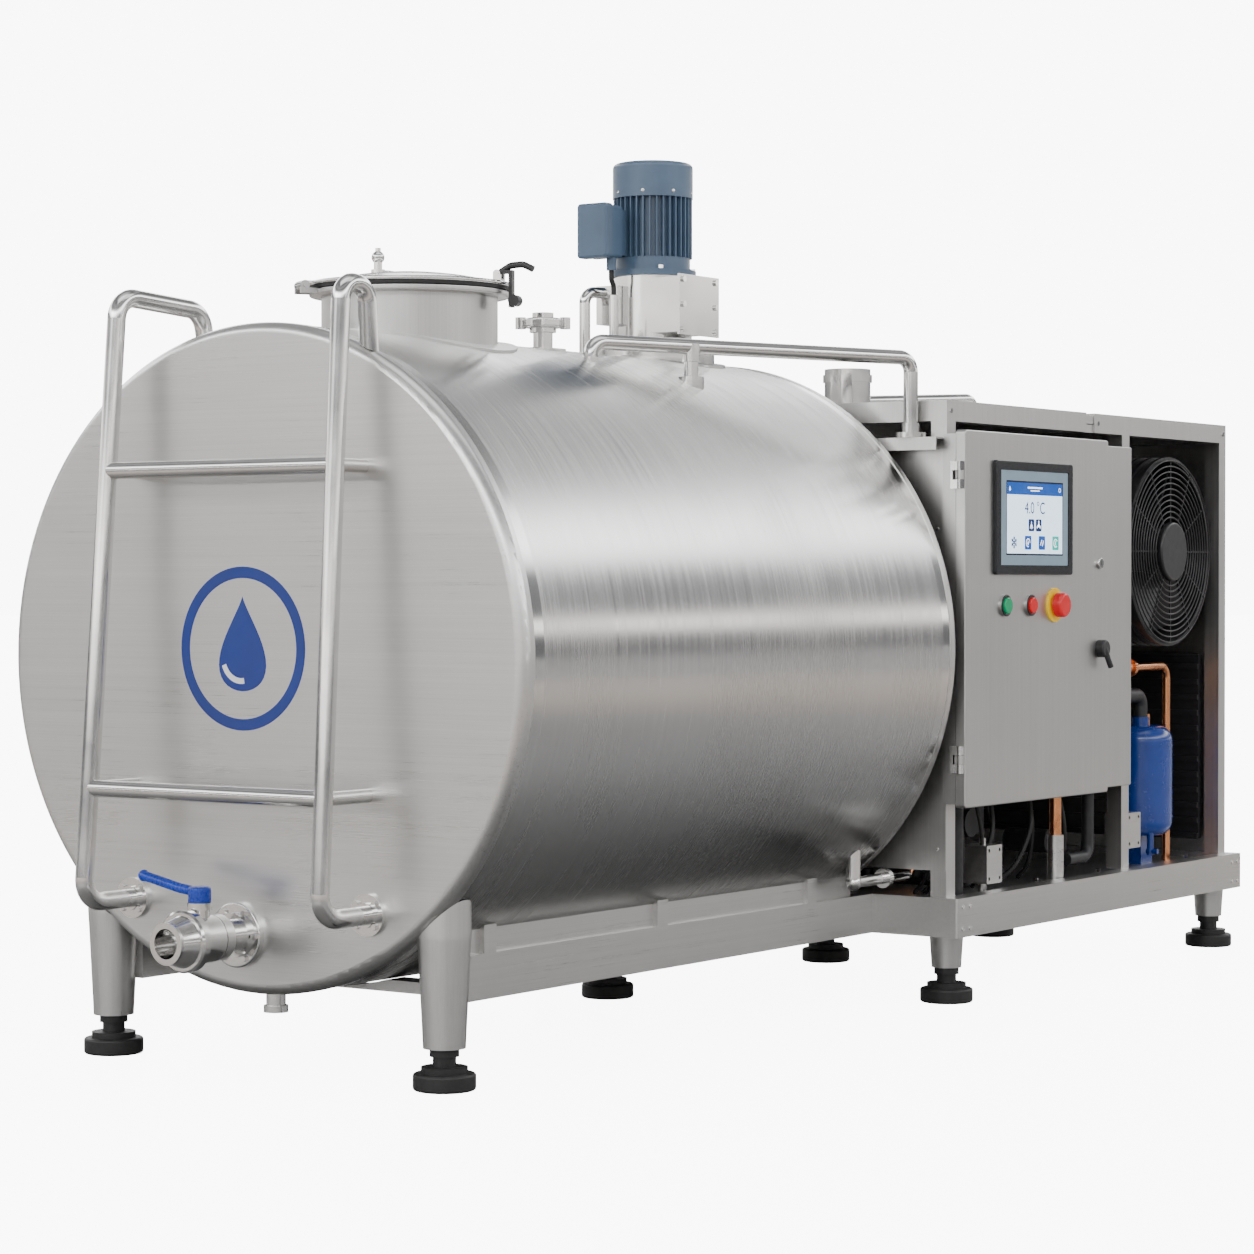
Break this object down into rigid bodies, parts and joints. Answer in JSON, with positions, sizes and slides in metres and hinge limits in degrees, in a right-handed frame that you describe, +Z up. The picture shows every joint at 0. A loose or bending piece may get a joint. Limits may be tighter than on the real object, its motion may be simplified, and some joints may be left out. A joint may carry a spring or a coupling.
{
  "type": "bulk milk tank",
  "caption": "Horizontal cylindrical bulk milk cooling tank with agitator, manhole, ladder, outlet valve and an attached refrigeration unit with control cabinet",
  "frame": {"origin": "bottom centre of the bounding box, on the floor", "axes": "+X along the tank from the outlet head to the machine end, -Y the control side, +Z up"},
  "size_m": [3.516, 1.381, 1.971],
  "materials": {
    "stainless_brushed": "brushed stainless steel sheet",
    "stainless_polished": "polished stainless steel tube and fittings",
    "motor_paint": "blue-grey enamel on cast aluminium",
    "black_plastic": "satin black plastic",
    "black_metal": "satin black paint",
    "black_rubber": "matte black rubber",
    "lever_blue": "gloss blue plastic sleeve",
    "receiver_blue": "gloss blue paint",
    "copper": "bright copper and brass",
    "button_green": "green plastic",
    "button_red": "red plastic",
    "ring_yellow": "yellow plastic",
    "screen": "black bezel round a lit colour screen",
    "foam": "rigid insulating foam",
    "gear_steel": "oiled machine steel",
    "switchgear": "pale grey switchgear"
  },
  "bodies": {
    "tank": {"agitator_bearings": "gear_steel", "agitator_mount": "stainless_polished", "base_frame": "stainless_brushed", "black_hoses": "black_rubber", "breather": "stainless_polished", "cabinet_body": "stainless_brushed", "cabinet_electrics": "switchgear", "compressor": "black_metal", "condenser_coil": "black_metal", "copper_pipes": "copper", "door_hinges": "stainless_polished", "evaporator_plate": "stainless_brushed", "fan_guard": "black_metal", "fan_shroud": "black_plastic", "fasteners": "stainless_polished", "front_cover": "stainless_brushed", "front_head": "stainless_brushed", "gearbox_housing": "stainless_polished", "housing_frame": "stainless_brushed", "housing_panels": "stainless_brushed", "inner_vessel": "stainless_brushed", "insulation": "foam", "ladder_rails": "stainless_polished", "ladder_rungs": "stainless_polished", "legs": "stainless_brushed", "levelling_feet": "black_rubber", "manhole_gasket": "black_rubber", "manhole_neck": "stainless_brushed", "motor_cable": "black_rubber", "motor_cowl": "motor_paint", "motor_housing": "motor_paint", "outer_shell": "stainless_brushed", "outlet_pipe": "stainless_polished", "rear_head": "stainless_brushed", "rear_pipe": "stainless_polished", "receiver": "receiver_blue", "roof_fittings": "stainless_polished", "saddles": "stainless_brushed", "tank_rails": "stainless_brushed", "terminal_box": "motor_paint", "valve_blocks": "stainless_brushed", "valve_body": "stainless_polished", "wash_pipe": "stainless_polished"},
    "manhole_lid": {"manhole_lid": "stainless_polished"},
    "manhole_latch": {"manhole_latch": "black_metal"},
    "agitator": {"agitator_shaft": "stainless_polished"},
    "layshaft": {"layshaft": "gear_steel"},
    "motor_rotor": {"motor_rotor": "gear_steel"},
    "outlet_valve": {"valve_lever": "lever_blue", "valve_disc": "stainless_polished"},
    "cabinet_door": {"cabinet_door": "stainless_brushed", "screen_unit": "screen", "stop_ring": "ring_yellow"},
    "start_button": {"start_button": "button_green"},
    "stop_button": {"stop_button": "button_red"},
    "emergency_stop": {"emergency_stop": "button_red"},
    "door_latch": {"door_latch": "black_plastic"},
    "cam_lock": {"cam_lock": "stainless_polished"},
    "side_door": {"side_door": "stainless_brushed"},
    "condenser_fan": {"condenser_fan": "black_metal"}
  },
  "joints": [
    {"name": "lid_hinge", "type": "hinge", "parent": "tank", "child": "manhole_lid", "pos_m": [-1.24468, 0.14215, 1.61], "axis": [-0.5299, -0.848, 0], "range_deg": [0, 100]},
    {"name": "lid_latch", "type": "hinge", "parent": "manhole_lid", "child": "manhole_latch", "pos_m": [-0.97989, -0.17566, 1.6374], "axis": [-0.9511, -0.309, 0], "range_deg": [0, 95]},
    {"name": "agitator_turn", "type": "hinge", "parent": "tank", "child": "agitator", "pos_m": [-0.127, 0.0155, 0.834], "axis": [0, 0, 1], "continuous": true},
    {"name": "layshaft_turn", "type": "hinge", "parent": "tank", "child": "layshaft", "pos_m": [-0.127, -0.0465, 1.6], "axis": [0, 0, 1], "continuous": true},
    {"name": "rotor_turn", "type": "hinge", "parent": "tank", "child": "motor_rotor", "pos_m": [-0.127, 0.0155, 1.888], "axis": [0, 0, 1], "continuous": true},
    {"name": "valve_turn", "type": "hinge", "parent": "tank", "child": "outlet_valve", "pos_m": [-1.659, 0.0555, 0.372], "axis": [0, 0, 1], "range_deg": [0, 90]},
    {"name": "cabinet_hinge", "type": "hinge", "parent": "tank", "child": "cabinet_door", "pos_m": [0.165, -0.6485, 0.9015], "axis": [0, 0, -1], "range_deg": [0, 110]},
    {"name": "start_press", "type": "slide", "parent": "cabinet_door", "child": "start_button", "axis": [0, 1, 0], "range_m": [0, 0.005], "stiffness_N_per_m": 600},
    {"name": "stop_press", "type": "slide", "parent": "cabinet_door", "child": "stop_button", "axis": [0, 1, 0], "range_m": [0, 0.005], "stiffness_N_per_m": 600},
    {"name": "emergency_press", "type": "slide", "parent": "cabinet_door", "child": "emergency_stop", "axis": [0, 1, 0], "range_m": [0, 0.006]},
    {"name": "latch_turn", "type": "hinge", "parent": "cabinet_door", "child": "door_latch", "pos_m": [0.858, -0.6565, 0.822], "axis": [0, 1, 0], "range_deg": [0, 90]},
    {"name": "cam_turn", "type": "hinge", "parent": "cabinet_door", "child": "cam_lock", "pos_m": [0.858, -0.6565, 1.034], "axis": [0, 1, 0], "range_deg": [0, 90]},
    {"name": "side_hinge", "type": "hinge", "parent": "tank", "child": "side_door", "pos_m": [0.923, -0.6205, 0.9], "axis": [0, 0, -1], "range_deg": [0, 88]},
    {"name": "fan_turn", "type": "hinge", "parent": "tank", "child": "condenser_fan", "pos_m": [1.444, -0.5065, 1.068], "axis": [0, 1, 0], "continuous": true}
  ],
  "couplings": [
    {"joint": "layshaft_turn", "follows": "agitator_turn", "ratio": -5.2},
    {"joint": "rotor_turn", "follows": "agitator_turn", "ratio": 27.04}
  ]
}
